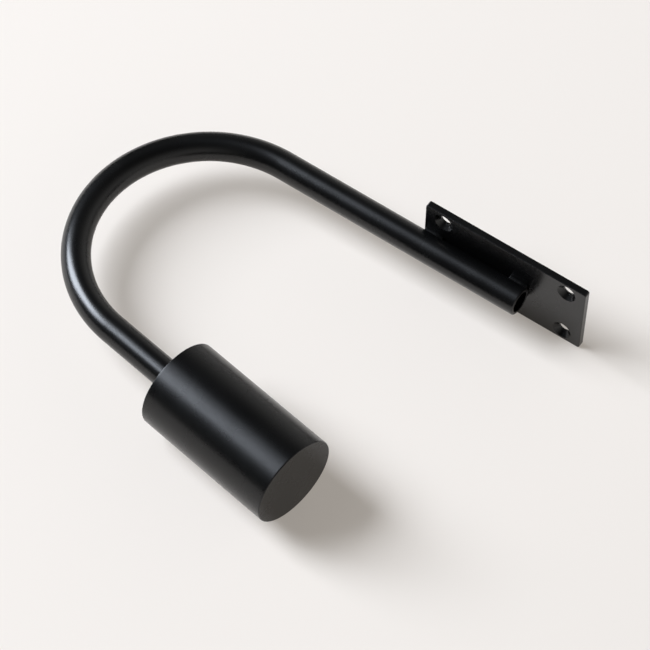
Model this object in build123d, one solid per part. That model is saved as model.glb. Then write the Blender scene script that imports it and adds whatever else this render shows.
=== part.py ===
from build123d import *
import math
import os

# Curtain tieback: a bent tube welded to a screw plate, with a cylindrical finial.
# The origin is the centre of the plate's back face, which lies against the wall.
# X runs along the plate, towards the tube's cut end. Y points into the wall. Z is up.

# Hook tube: outer diameter, wall, and the broken outer edge of its cut end
tube_diameter = 12.0
tube_wall = 1.5
tube_edge_break = 0.3

# Centreline of the hook: how far the cut end lies past the middle of the plate, the straight
# run along the wall, the bend in degrees, and the straight run to the finial
cut_end_offset = 13.0
wall_run_length = 114.0
bend_radius = 52.0
bend_angle = 171.2
free_run_length = 36.0

# Wall plate
plate_length = 74.5
plate_height = 35.5
plate_thickness = 3.0
plate_corner_radius = 1.0
plate_edge_break = 0.3

# Countersunk screw holes: the insets are from the plate's ends and long edges to the centres
screw_hole_diameter = 4.6
screw_head_diameter = 8.4
screw_head_angle = 90.0
screw_end_inset = 8.5
screw_edge_inset = 5.2

# Finial: a turned cylinder with a blind tapped hole in its back face
finial_diameter = 38.0
finial_length = 63.0
finial_edge_break = 0.5
tapped_hole_depth = 20.0
tapped_hole_mouth = 0.6
drill_point_angle = 118.0

# Stud between tube and finial: a plug in the tube's bore and a threaded shank, both drawn as
# plain cylinders with a radial clearance
stud_plug_length = 18.0
stud_plug_clearance = 0.05
stud_thread_diameter = 8.0
stud_thread_length = 17.0
stud_thread_clearance = 0.1
stud_tip_break = 0.8

# Weld runs: round beads whose middle lies where the groove between tube and plate is this
# wide, each cut to the tube and the plate
weld_groove_gap = 1.3
weld_bead_radius = 2.0
weld_length = 9.0
weld_end_inset = 0.5

tube_radius = tube_diameter / 2
bore_radius = tube_radius - tube_wall
tube_y = -plate_thickness - tube_radius
bend_start_x = cut_end_offset - wall_run_length
plate_front = Plane(origin=(0, -plate_thickness, 0), x_dir=(1, 0, 0), z_dir=(0, -1, 0))

wall_run = Line((cut_end_offset, tube_y), (bend_start_x, tube_y))
bend = JernArc(wall_run @ 1, wall_run % 1, bend_radius, bend_angle)
free_run = Line(bend @ 1, bend @ 1 + (bend % 1) * free_run_length)
centreline = Wire([wall_run, bend, free_run])
finial_seat = Plane(origin=free_run @ 1, x_dir=(0, 0, 1), z_dir=free_run % 1)


def rod_along_centreline(radius):
    """A round rod of this radius swept along the hook's centreline."""
    section = Plane(origin=wall_run @ 0, z_dir=wall_run % 0) * Circle(radius)
    return sweep(section, path=centreline)


def turned(points):
    """A turned solid on the finial's axis, from (radius, distance from the seat) points."""
    outline = Plane.XZ * make_face(Polyline(*points, close=True))
    return finial_seat * revolve(outline, Axis.Z)


def make_hook_tube():
    """The bent tube, its outer edge broken at the cut end."""
    outside = rod_along_centreline(tube_radius)
    cut_rim = outside.faces().sort_by(Axis.X)[-1].edges()
    outside = chamfer(cut_rim, tube_edge_break)
    return outside - rod_along_centreline(bore_radius)


def make_wall_plate():
    """Flat strip with rounded corners, broken edges and a countersunk hole near each corner."""
    outline = RectangleRounded(plate_length, plate_height, plate_corner_radius)
    plate = extrude(plate_front * outline, -plate_thickness)
    flat_faces = plate.faces().filter_by(Axis.Y)
    plate = chamfer(flat_faces.edges(), plate_edge_break)
    hole_spacing_x = plate_length - 2 * screw_end_inset
    hole_spacing_z = plate_height - 2 * screw_edge_inset
    drill = CounterSinkHole(
        radius=screw_hole_diameter / 2,
        counter_sink_radius=screw_head_diameter / 2,
        depth=plate_thickness,
        counter_sink_angle=screw_head_angle,
    )
    for corner in GridLocations(hole_spacing_x, hole_spacing_z, 2, 2):
        plate -= plate_front * corner * drill
    return plate


def make_finial():
    """Cylinder with broken rims and a blind tapped hole, seated on the tube's end."""
    radius = finial_diameter / 2
    hole_radius = stud_thread_diameter / 2 + stud_thread_clearance
    drill_point = hole_radius / math.tan(math.radians(drill_point_angle / 2))
    return turned([
        (hole_radius + tapped_hole_mouth, 0),
        (radius - finial_edge_break, 0),
        (radius, finial_edge_break),
        (radius, finial_length - finial_edge_break),
        (radius - finial_edge_break, finial_length),
        (0, finial_length),
        (0, tapped_hole_depth + drill_point),
        (hole_radius, tapped_hole_depth),
        (hole_radius, tapped_hole_mouth),
    ])


def make_finial_stud():
    """Plug in the tube's bore, flush with its end, and a shank in the finial's hole."""
    plug_radius = bore_radius - stud_plug_clearance
    thread_radius = stud_thread_diameter / 2
    return turned([
        (0, -stud_plug_length),
        (plug_radius - stud_tip_break, -stud_plug_length),
        (plug_radius, stud_tip_break - stud_plug_length),
        (plug_radius, 0),
        (thread_radius, 0),
        (thread_radius, stud_thread_length - stud_tip_break),
        (thread_radius - stud_tip_break, stud_thread_length),
        (0, stud_thread_length),
    ])


def make_weld_run(middle_x, side):
    """A short bead in the groove above (side 1) or below (side -1) the tube."""
    reach = math.sqrt(tube_radius**2 - (tube_radius - weld_groove_gap) ** 2)
    bead_y = -plate_thickness - weld_groove_gap / 2
    section = Pos(bead_y, side * reach) * Circle(weld_bead_radius)
    section -= Pos(tube_y, 0) * Circle(tube_radius)
    section -= Pos(0, side * reach) * Rectangle(2 * plate_thickness, 3 * weld_bead_radius)
    return extrude(Plane.YZ.offset(middle_x) * section, weld_length / 2, both=True)


nodes = {
    "hook_tube": make_hook_tube(),
    "wall_plate": make_wall_plate(),
    "finial": make_finial(),
    "finial_stud": make_finial_stud(),
}
half_weld = weld_end_inset + weld_length / 2
weld_middles = {"outer": half_weld - plate_length / 2, "inner": cut_end_offset - half_weld}
for level, side in (("upper", 1), ("lower", -1)):
    for place, middle_x in weld_middles.items():
        nodes[f"weld_{level}_{place}"] = make_weld_run(middle_x, side)

os.makedirs("parts", exist_ok=True)
for name, solid in nodes.items():
    export_step(solid, f"parts/{name}.step")
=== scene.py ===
import math
import bmesh
import bpy
from mathutils import Matrix, Vector, noise


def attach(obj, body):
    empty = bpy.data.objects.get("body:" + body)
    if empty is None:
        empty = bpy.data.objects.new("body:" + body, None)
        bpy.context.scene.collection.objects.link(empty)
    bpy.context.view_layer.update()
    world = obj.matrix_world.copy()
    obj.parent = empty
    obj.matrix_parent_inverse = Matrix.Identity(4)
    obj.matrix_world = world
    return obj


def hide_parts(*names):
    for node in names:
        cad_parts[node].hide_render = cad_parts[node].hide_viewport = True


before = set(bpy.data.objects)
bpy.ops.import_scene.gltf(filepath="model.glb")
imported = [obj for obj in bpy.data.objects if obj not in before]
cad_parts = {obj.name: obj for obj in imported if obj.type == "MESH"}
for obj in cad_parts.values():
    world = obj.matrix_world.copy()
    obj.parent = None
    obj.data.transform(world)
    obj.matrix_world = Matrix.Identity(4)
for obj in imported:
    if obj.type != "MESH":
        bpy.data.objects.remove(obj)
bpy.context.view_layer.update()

mm = 0.001
print("stage: frame loaded")


# The direction from the object to a place round it: azimuth 0 is its -Y side, 90 its +X side.
def wayTo(azimuth, elevation):
    azimuth, elevation = math.radians(azimuth), math.radians(elevation)
    return Vector((
        math.sin(azimuth) * math.cos(elevation),
        -math.cos(azimuth) * math.cos(elevation),
        math.sin(elevation),
    ))


# Camera, worked out from the photo's edges. Angles in degrees, lengths in mm.
cameraView = {
    "azimuth": 34.45, "elevation": 55.75, "roll": 1.21,
    "target": (-43.16, -62.61, 0.0), "distance": 1236.9,
    "lens": 176.35, "sensor": 36.0,
    "nearest": 50.0, "farthest": 20000.0,
}


def placeCamera():
    view = cameraView
    back = wayTo(view["azimuth"], view["elevation"])
    level = wayTo(view["azimuth"] + 90, 0)
    upright = back.cross(level)
    roll = math.radians(view["roll"])
    right = level * math.cos(roll) + upright * math.sin(roll)
    up = upright * math.cos(roll) - level * math.sin(roll)
    place = (Vector(view["target"]) + back * view["distance"]) * mm
    camera = bpy.data.objects.new("camera", bpy.data.cameras.new("camera"))
    bpy.context.collection.objects.link(camera)
    camera.matrix_world = (
        Matrix.Translation(place) @ Matrix((right, up, back)).transposed().to_4x4()
    )
    camera.data.lens = view["lens"]
    camera.data.sensor_width = view["sensor"]
    camera.data.clip_start = view["nearest"] * mm
    camera.data.clip_end = view["farthest"] * mm
    bpy.context.scene.camera = camera


placeCamera()
print("stage: camera placed")


# sRGB hex to the linear colour that shaders take.
def hexColour(text):
    parts = [int(text[i:i + 2], 16) / 255 for i in (1, 3, 5)]
    return [c / 12.92 if c <= 0.04045 else ((c + 0.055) / 1.055) ** 2.4 for c in parts] + [1]


# Adds a node; an input is a value or another node's output socket.
def addNode(tree, kind, inputs, **settings):
    node = tree.nodes.new(kind)
    for name, value in settings.items():
        setattr(node, name, value)
    for name, value in inputs.items():
        if isinstance(value, bpy.types.NodeSocket):
            tree.links.new(value, node.inputs[name])
        else:
            node.inputs[name].default_value = value
    return node


# A finish on metal whose tone and gloss change in patches, over waves and a fine grain. Each
# look gives their sizes in mm.
def coatedMetal(name, look):
    material = bpy.data.materials.new(name)
    material.use_nodes = True
    tree = material.node_tree
    shader = tree.nodes["Principled BSDF"]
    place = addNode(tree, "ShaderNodeTexCoord", {}).outputs["Object"]
    patches = addNode(tree, "ShaderNodeTexNoise", {
        "Vector": place, "Scale": 1 / (look["patchSize"] * mm), "Detail": 3.0,
    }).outputs[0]
    waves = addNode(tree, "ShaderNodeTexNoise", {
        "Vector": place, "Scale": 1 / (look["waveSize"] * mm), "Detail": 1.0,
    }).outputs[0]
    grain = addNode(tree, "ShaderNodeTexNoise", {
        "Vector": place, "Scale": 1 / (look["grainSize"] * mm), "Detail": 2.0,
    }).outputs[0]
    colour = addNode(tree, "ShaderNodeMix", {
        0: patches, 6: hexColour(look["dark"]), 7: hexColour(look["light"]),
    }, data_type="RGBA")  # 6 and 7 are its two colours
    gloss = addNode(tree, "ShaderNodeMapRange", {
        "Value": patches,
        "From Min": 0.3, "From Max": 0.7,  # most of the noise lies between these
        "To Min": look["roughness"][0], "To Max": look["roughness"][1],
    })
    waveBump = addNode(tree, "ShaderNodeBump", {
        "Height": waves, "Distance": look["waveHeight"] * mm, "Strength": 1.0,
    })
    grainBump = addNode(tree, "ShaderNodeBump", {
        "Height": grain, "Distance": look["grainHeight"] * mm, "Strength": 1.0,
        "Normal": waveBump.outputs[0],
    })
    tree.links.new(colour.outputs[2], shader.inputs["Base Color"])
    tree.links.new(gloss.outputs[0], shader.inputs["Roughness"])
    tree.links.new(grainBump.outputs[0], shader.inputs["Normal"])
    shader.inputs["Metallic"].default_value = look["metallic"]
    shader.inputs["Specular IOR Level"].default_value = look["mirror"]
    return material


# Satin black powder coat on steel: near-black, soft wide highlights, pale at a grazing angle
steelCoatLook = {
    "dark": "#030303", "light": "#070707",
    "roughness": (0.25, 0.285), "metallic": 0.0, "mirror": 0.47,
    "patchSize": 14.0,
    "waveSize": 2.2, "waveHeight": 0.006,  # orange peel
    "grainSize": 0.8, "grainHeight": 0.0015,  # really about 0.1 mm, drawn coarser to show
}
# The same coat on turned aluminium: a smoother base, so the waves are lower
aluminiumCoatLook = {
    "dark": "#030303", "light": "#070707",
    "roughness": (0.255, 0.29), "metallic": 0.0, "mirror": 0.38,
    "patchSize": 16.0,
    "waveSize": 2.6, "waveHeight": 0.004,
    "grainSize": 0.8, "grainHeight": 0.0015,
}
# Bright zinc plate: a cool pale metal with fairly sharp reflections
zincLook = {
    "dark": "#b9bcc0", "light": "#cdd0d3",
    "roughness": (0.22, 0.32), "metallic": 1.0, "mirror": 0.5,
    "patchSize": 5.0,
    "waveSize": 1.0, "waveHeight": 0.002,
    "grainSize": 0.4, "grainHeight": 0.001,
}
steelCoat = coatedMetal("satin_black_powder_coat_on_steel", steelCoatLook)
aluminiumCoat = coatedMetal("satin_black_powder_coat_on_aluminium", aluminiumCoatLook)
zincPlate = coatedMetal("bright_zinc_plate", zincLook)
print("stage: materials made")


# Mesh helpers. A ring is a list of (point, normal) pairs in mm that runs once round a piece.

def addRing(bm, normals, ring):
    verts = []
    for point, normal in ring:
        verts.append(bm.verts.new(point * mm))
        normals.append(normal.normalized())
    return verts


def bridge(bm, ringA, ringB):
    for i in range(len(ringA)):
        bm.faces.new((ringA[i - 1], ringA[i], ringB[i], ringB[i - 1]))


def bridgeAll(bm, rings):
    for ringA, ringB in zip(rings, rings[1:]):
        bridge(bm, ringA, ringB)


# Turns the mesh into a shown piece that stands for these CAD nodes.
def finishPiece(name, bm, normals, material, nodes):
    bmesh.ops.recalc_face_normals(bm, faces=bm.faces)
    mesh = bpy.data.meshes.new(name)
    bm.to_mesh(mesh)
    bm.free()
    mesh.polygons.foreach_set("use_smooth", [True] * len(mesh.polygons))
    if normals:
        mesh.normals_split_custom_set_from_vertices(normals)
    mesh.materials.append(material)
    piece = bpy.data.objects.new(name, mesh)
    bpy.context.collection.objects.link(piece)
    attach(piece, "root")
    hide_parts(*nodes)
    return piece


# Cosine and sine of the angles from 0 to 90 degrees.
def quarterSteps(steps):
    angles = [math.pi / 2 * k / steps for k in range(steps + 1)]
    return [(math.cos(a), math.sin(a)) for a in angles]


# Bent tube
hookTube = {
    "radius": 5.98, "boreRadius": 4.5,  # 12 mm tube, a hair less so it stays in the CAD's box
    "cutEndX": 12.3, "axisY": -9.0,
    "wallRun": 113.3, "bendRadius": 52.0, "bendAngle": 171.2, "freeRun": 36.0,
    "outerEdge": 0.6, "boreEdge": 0.15, "seatEdge": 0.1,  # how round the ends' edges are
    "sides": 96, "bendRings": 160, "runRings": 24, "edgeSteps": 5,
}


# (point, direction) pairs from the cut end to the finial's seat.
def hookCentreline():
    h = hookTube
    stations = []
    start = Vector((h["cutEndX"], h["axisY"], 0))
    along = Vector((-1, 0, 0))
    for k in range(h["runRings"]):
        stations.append((start + along * (h["wallRun"] * k / h["runRings"]), along))
    centre = start + Vector((-h["wallRun"], -h["bendRadius"], 0))
    for k in range(h["bendRings"] + 1):
        turn = math.radians(h["bendAngle"] * k / h["bendRings"])
        along = Vector((-math.cos(turn), -math.sin(turn), 0))
        outward = Vector((-math.sin(turn), math.cos(turn), 0))
        stations.append((centre + outward * h["bendRadius"], along))
    bendEnd, along = stations[-1]
    for k in range(1, h["runRings"] // 2 + 1):
        stations.append((bendEnd + along * (h["freeRun"] * 2 * k / h["runRings"]), along))
    return stations


# A circle across a direction. The normals' tilt is 0 for outward, pi / 2 for along it and pi
# for inward.
def roundRing(centre, along, radius, tilt, sides):
    level = along.cross(Vector((0, 0, 1)))
    ring = []
    for k in range(sides):
        turn = 2 * math.pi * k / sides
        outward = level * math.cos(turn) + Vector((0, 0, math.sin(turn)))
        normal = outward * math.cos(tilt) + along * math.sin(tilt)
        ring.append((centre + outward * radius, normal))
    return ring


# Rings over an end, from the outer wall into the bore. way is 1 or -1, out of the metal.
def tubeEnd(centre, along, way, outerEdge, boreEdge):
    h = hookTube
    steps = quarterSteps(h["edgeSteps"])
    rows = []
    for cos, sin in steps:
        radius = h["radius"] - outerEdge * (1 - cos)
        rows.append((outerEdge * (1 - sin), radius, math.atan2(sin, cos)))
    for cos, sin in reversed(steps):
        radius = h["boreRadius"] + boreEdge * (1 - cos)
        rows.append((boreEdge * (1 - sin), radius, math.atan2(sin, -cos)))
    return [
        roundRing(centre - along * way * depth, along, radius, way * tilt, h["sides"])
        for depth, radius, tilt in rows
    ]


def makeHookTube():
    h = hookTube
    line = hookCentreline()
    cut, seat = line[0], line[-1]
    inside = line[1:-1]
    loops = [roundRing(point, along, h["radius"], 0, h["sides"]) for point, along in inside]
    loops += tubeEnd(*seat, 1, h["seatEdge"], h["seatEdge"])
    loops += [
        roundRing(point, along, h["boreRadius"], math.pi, h["sides"])
        for point, along in reversed(inside)
    ]
    loops += reversed(tubeEnd(*cut, -1, h["outerEdge"], h["boreEdge"]))
    bm = bmesh.new()
    normals = []
    rings = [addRing(bm, normals, loop) for loop in loops]
    bridgeAll(bm, rings + rings[:1])
    return finishPiece("hookTube", bm, normals, steelCoat, ["hook_tube"])


makeHookTube()

# Finial, turned on the tube's axis
finial = {
    "radius": 18.98, "length": 63.0, "edge": 0.5,
    "holeRadius": 4.1, "holeDepth": 20.0, "holeMouth": 0.3,
    "sides": 160, "edgeSteps": 6, "barrelSteps": 12,
}


# (radius, distance from the seat, tilt of the normal) from hole floor to end face.
def finialProfile():
    f = finial
    steps = quarterSteps(f["edgeSteps"])
    barrel = f["length"] - 2 * f["edge"]
    rows = [(f["holeRadius"], f["holeDepth"], math.pi)]
    for cos, sin in steps:
        radius = f["holeRadius"] + f["holeMouth"] * (1 - cos)
        rows.append((radius, f["holeMouth"] * (1 - sin), math.atan2(-sin, -cos)))
    for cos, sin in reversed(steps):
        radius = f["radius"] - f["edge"] * (1 - cos)
        rows.append((radius, f["edge"] * (1 - sin), math.atan2(-sin, cos)))
    for k in range(1, f["barrelSteps"]):
        rows.append((f["radius"], f["edge"] + barrel * k / f["barrelSteps"], 0))
    for cos, sin in steps:
        radius = f["radius"] - f["edge"] * (1 - cos)
        rows.append((radius, f["length"] - f["edge"] * (1 - sin), math.atan2(sin, cos)))
    rows.append((f["radius"] / 2, f["length"], math.pi / 2))
    return rows


def makeFinial():
    f = finial
    seat, along = hookCentreline()[-1]
    bm = bmesh.new()
    normals = []
    rings = []
    for radius, distance, tilt in finialProfile():
        ring = roundRing(seat + along * distance, along, radius, tilt, f["sides"])
        rings.append(addRing(bm, normals, ring))
    bridgeAll(bm, rings)
    for ring, distance, normal in (
        (rings[0], f["holeDepth"], -along), (rings[-1], f["length"], along),
    ):
        middle = addRing(bm, normals, [(seat + along * distance, normal)])[0]
        for k in range(f["sides"]):
            bm.faces.new((ring[k - 1], ring[k], middle))
    return finishPiece(
        "finialBarrel", bm, normals, aluminiumCoat, ["finial"],
    )


makeFinial()

# Wall plate
wallPlate = {
    "length": 74.5, "height": 35.5, "thickness": 3.0,
    "corner": 1.0, "edge": 0.3,
    "holeX": 28.75, "holeZ": 12.55,
    "headRadius": 4.2, "coneAngle": 90.0, "holeRadius": 2.3,
    "holeEdge": 0.12, "holeBackEdge": 0.3,
    "cornerSteps": 10, "edgeSteps": 5, "holeSides": 64,
}


# The plate's outline drawn in by this much, as (x, z, outward x, outward z).
def plateOutline(inset):
    p = wallPlate
    radius = p["corner"] - inset
    points = []
    for corner in range(4):
        signX, signZ = ((1, 1), (-1, 1), (-1, -1), (1, -1))[corner]
        for k in range(p["cornerSteps"] + 1):
            turn = math.pi / 2 * (corner + k / p["cornerSteps"])
            points.append((
                signX * (p["length"] / 2 - p["corner"]) + radius * math.cos(turn),
                signZ * (p["height"] / 2 - p["corner"]) + radius * math.sin(turn),
                math.cos(turn), math.sin(turn),
            ))
    return points


# The outline at this depth; cos and sin share the normal between outward and Y.
def plateRing(inset, y, cos, sin):
    return [
        (Vector((x, y, z)), Vector((outX * cos, sin, outZ * cos)))
        for x, z, outX, outZ in plateOutline(inset)
    ]


# A circle in the plate; outward is positive where the normal leaves the hole's axis.
def holeRing(centre, radius, y, outward, alongY):
    ring = []
    for k in range(wallPlate["holeSides"]):
        turn = 2 * math.pi * k / wallPlate["holeSides"]
        out = Vector((math.cos(turn), 0, math.sin(turn)))
        ring.append((
            Vector((centre[0], y, centre[1])) + out * radius,
            out * outward + Vector((0, alongY, 0)),
        ))
    return ring


def makeWallPlate():
    p = wallPlate
    bm = bmesh.new()
    normals = []
    edge = p["edge"]
    loops = []
    for cos, sin in reversed(quarterSteps(p["edgeSteps"])):
        loops.append(plateRing(edge * (1 - cos), -p["thickness"] + edge * (1 - sin), cos, -sin))
    for cos, sin in quarterSteps(p["edgeSteps"]):
        loops.append(plateRing(edge * (1 - cos), -edge * (1 - sin), cos, sin))
    rim = [addRing(bm, normals, loop) for loop in loops]
    bridgeAll(bm, rim)
    frontRings, backRings = [rim[0]], [rim[-1]]

    # each hole: a rounded mouth, a countersink, the shank's hole, a rounded back edge
    lip = p["holeEdge"]
    slope = math.radians(p["coneAngle"] / 2)  # from the hole's axis to the cone
    coneTurn = math.pi / 2 - slope  # from the plate's face to the cone
    coneDepth = (p["headRadius"] - p["holeRadius"]) / math.tan(slope)
    for signX in (-1, 1):
        for signZ in (-1, 1):
            centre = (signX * p["holeX"], signZ * p["holeZ"])
            loops = []
            for k in range(p["edgeSteps"] + 1):
                lean = coneTurn * k / p["edgeSteps"]
                # an arc tangent to the face and to the cone
                reach = lip * (math.tan(coneTurn / 2) - math.sin(lean))
                loops.append(holeRing(
                    centre, p["headRadius"] + reach,
                    -p["thickness"] + lip * (1 - math.cos(lean)),
                    -math.sin(lean), -math.cos(lean),
                ))
            coneEnd = -p["thickness"] + coneDepth
            loops.append(holeRing(
                centre, p["holeRadius"] + lip / 2 * math.tan(slope), coneEnd - lip / 2,
                -math.cos(slope), -math.sin(slope),
            ))
            loops.append(holeRing(centre, p["holeRadius"], coneEnd + lip / 2, -1, 0))
            for cos, sin in quarterSteps(p["edgeSteps"]):
                loops.append(holeRing(
                    centre, p["holeRadius"] + p["holeBackEdge"] * (1 - cos),
                    -p["holeBackEdge"] * (1 - sin), -cos, sin,
                ))
            rings = [addRing(bm, normals, loop) for loop in loops]
            bridgeAll(bm, rings)
            frontRings.append(rings[0])
            backRings.append(rings[-1])
    for rings in (frontRings, backRings):
        edges = [bm.edges.get((ring[k - 1], ring[k])) for ring in rings for k in range(len(ring))]
        bmesh.ops.triangle_fill(bm, edges=edges, use_beauty=True)
    return finishPiece("wallPlate", bm, normals, steelCoat, ["wall_plate"])


makeWallPlate()

# Weld runs in the grooves above and below the tube. Each starts blunt and runs out long, as
# shares of half its length.
weldRun = {
    "radius": 1.8, "crown": 0.35, "length": 8.6, "groove": 1.3,  # crown is height to width
    "middles": {"outer": -32.25, "inner": 7.8},
    "start": 0.12, "runOut": 0.8,
    "ripple": 1.5, "rippleHeight": 0.01,  # spacing and height of the scales under the coat
    "rippleLag": 0.35,  # how far the scales bow back at the crown, in scales
    "lump": 2.5, "lumpHeight": 0.03,  # length and height of the bead's unevenness
    "rings": 110, "sides": 40,
}


def makeWeldRun(name, node, middleX, side):
    w = weldRun
    tubeRadius, axisY, front = hookTube["radius"], hookTube["axisY"], -wallPlate["thickness"]
    centreY = front - w["groove"] / 2
    centreZ = math.sqrt(tubeRadius ** 2 - (centreY - w["groove"] / 2 - axisY) ** 2)
    bm = bmesh.new()
    rings = []
    for i in range(1, w["rings"]):
        along = -1 + 2 * i / w["rings"]
        x = middleX + along * w["length"] / 2
        start = max(0, (-along - 1 + w["start"]) / w["start"])
        runOut = max(0, (along - 1 + w["runOut"]) / w["runOut"])
        taper = (1 - start ** 2) ** 0.5 * (1 - runOut ** 2)
        verts = []
        for k in range(w["sides"]):
            turn = 2 * math.pi * k / w["sides"]
            # scales bow back at the crown, so they draw as crescents
            phase = (x - middleX) / w["ripple"] + w["rippleLag"] * math.sin(turn) ** 2
            wave = abs(math.sin(math.pi * phase)) - 0.6  # 0.6 is about its mean
            # 3 * side picks one part of the noise above the tube and another below it
            lump = w["lumpHeight"] * noise.noise(Vector((x / w["lump"], turn, 3 * side)))
            radius = (w["radius"] + w["rippleHeight"] * wave + lump) * taper
            y = centreY + radius * math.cos(turn)
            z = centreZ + w["crown"] * radius * math.sin(turn)
            reach = math.hypot(y - axisY, z)
            if reach < tubeRadius:  # lies against the tube
                y = axisY + (y - axisY) * tubeRadius / reach
                z = z * tubeRadius / reach
            verts.append(bm.verts.new(Vector((x, min(y, front), z * side)) * mm))
        rings.append(verts)
    bridgeAll(bm, rings)
    for ring in (rings[0], rings[-1]):
        bm.faces.new(ring)
    return finishPiece(name, bm, [], steelCoat, [node])


for place, middleX in weldRun["middles"].items():
    makeWeldRun("weldUpper" + place.title(), "weld_upper_" + place, middleX, 1)
    makeWeldRun("weldLower" + place.title(), "weld_lower_" + place, middleX, -1)

# The finial's stud keeps the CAD's shape and gets its finish
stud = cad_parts["finial_stud"]
stud.data.materials.clear()
stud.data.materials.append(zincPlate)
print("stage: pieces made")

# Floor: pale matt paint, soft and nearly without gloss. It is tilted a little, because the hook
# stands on its finial and the plate's lower edge, given here as (y, z) in mm. The backdrop share
# is seen by the camera and in the coat, and keeps the shadows pale. The size is in m.
floor = {
    "colour": "#c2bbb3", "roughness": 0.6, "mirror": 0.2, "backdrop": 0.49,
    "finialLow": (-122.7, -19.0), "plateLow": (-1.5, -17.75), "size": 12.0,
}


def makeFloor():
    (yA, zA), (yB, zB) = floor["finialLow"], floor["plateLow"]
    slope = (zB - zA) / (yB - yA)
    half = floor["size"] / 2
    mesh = bpy.data.meshes.new("floor")
    corners = [(x, y, zA * mm + slope * (y - yA * mm)) for x, y in (
        (-half, -half), (half, -half), (half, half), (-half, half),
    )]
    mesh.from_pydata(corners, [], [(0, 1, 2, 3)])
    material = bpy.data.materials.new("pale_matt_paint")
    material.use_nodes = True
    tree = material.node_tree
    shader = tree.nodes["Principled BSDF"]
    shader.inputs["Base Color"].default_value = hexColour(floor["colour"])
    shader.inputs["Roughness"].default_value = floor["roughness"]
    shader.inputs["Specular IOR Level"].default_value = floor["mirror"]
    ray = addNode(tree, "ShaderNodeLightPath", {}).outputs
    mirrored = addNode(tree, "ShaderNodeMath", {
        0: ray["Is Glossy Ray"], 1: ray["Is Transmission Ray"],
    }, operation="MAXIMUM")
    shown = addNode(tree, "ShaderNodeMath", {
        0: ray["Is Camera Ray"], 1: mirrored.outputs[0],
    }, operation="MAXIMUM")
    share = addNode(tree, "ShaderNodeMath", {
        0: shown.outputs[0], 1: floor["backdrop"],
    }, operation="MULTIPLY")
    shader.inputs["Emission Color"].default_value = hexColour(floor["colour"])
    tree.links.new(share.outputs[0], shader.inputs["Emission Strength"])
    mesh.materials.append(material)
    plane = bpy.data.objects.new("floor", mesh)
    bpy.context.collection.objects.link(plane)


makeFloor()
print("stage: floor laid")

# Light: a window at the left with a weaker pane above it, a slim panel nearer the front, and a
# soft glow low down at the right. They stand far off, so that the floor is lit evenly. Angles in
# degrees, with turn for how far a lamp faces past the object. Lengths in m, glow in W per m2 of
# lamp.
lights = {
    "window": {
        "azimuth": -81.9, "elevation": 37.4, "distance": 5.0, "width": 2.25, "height": 3.22,
        "turn": 27.7, "glow": 67.0,
    },
    "upperPane": {
        "azimuth": -77.3, "elevation": 63.3, "distance": 4.25, "width": 1.82, "height": 1.21,
        "turn": 0.0, "glow": 3.5,
    },
    "panel": {
        "azimuth": -57.3, "elevation": 42.4, "distance": 4.18, "width": 1.07, "height": 1.38,
        "turn": 0.0, "glow": 40.0,
    },
}
coolWhite = "#ebf3ff"
lampTarget = (-0.07, -0.075, 0)  # about the middle of the hook


def placeLight(name, spec):
    away = wayTo(spec["azimuth"], spec["elevation"])
    level = wayTo(spec["azimuth"] + 90, 0)
    lamp = bpy.data.lights.new(name, "AREA")
    lamp.shape = "RECTANGLE"
    lamp.size, lamp.size_y = spec["width"], spec["height"]
    lamp.energy = spec["glow"] * spec["width"] * spec["height"]
    lamp.color = hexColour(coolWhite)[:3]
    holder = bpy.data.objects.new(name, lamp)
    bpy.context.collection.objects.link(holder)
    holder.matrix_world = (
        Matrix.Translation(Vector(lampTarget) + away * spec["distance"])
        @ Matrix((level, away.cross(level), away)).transposed().to_4x4()
        @ Matrix.Rotation(math.radians(spec["turn"]), 4, "Y")
    )


# The room round it: nearly dark overhead, brighter low down on one side. Its limits are parts of
# a unit vector: how far it points to that side, and how far up.
dome = {
    "colour": "#fffdfa", "top": 0.05, "side": 0.57, "sideAzimuth": 115.0,
    "sideStart": -0.35, "sideFull": 0.25, "heightFull": 0.3, "heightEnd": 0.95,
}


def makeDome():
    world = bpy.data.worlds.new("studio")
    world.use_nodes = True
    tree = world.node_tree
    place = addNode(tree, "ShaderNodeTexCoord", {}).outputs["Generated"]
    facing = addNode(tree, "ShaderNodeVectorMath", {
        0: place, 1: wayTo(dome["sideAzimuth"], 0),
    }, operation="DOT_PRODUCT")
    height = addNode(tree, "ShaderNodeSeparateXYZ", {0: place})
    beside = addNode(tree, "ShaderNodeMapRange", {
        "Value": facing.outputs["Value"],
        "From Min": dome["sideStart"], "From Max": dome["sideFull"],
    }, interpolation_type="SMOOTHSTEP")
    low = addNode(tree, "ShaderNodeMapRange", {
        "Value": height.outputs[2],
        "From Min": dome["heightEnd"], "From Max": dome["heightFull"],
    }, interpolation_type="SMOOTHSTEP")
    both = addNode(tree, "ShaderNodeMath", {
        0: beside.outputs[0], 1: low.outputs[0],
    }, operation="MULTIPLY")
    strength = addNode(tree, "ShaderNodeMapRange", {
        "Value": both.outputs[0], "To Min": dome["top"], "To Max": dome["side"],
    })
    background = tree.nodes["Background"]
    background.inputs["Color"].default_value = hexColour(dome["colour"])
    tree.links.new(strength.outputs[0], background.inputs["Strength"])
    bpy.context.scene.world = world


for lampName, lampSpec in lights.items():
    placeLight(lampName, lampSpec)
makeDome()
bpy.context.scene.view_settings.view_transform = "Standard"
print("stage: lights placed")
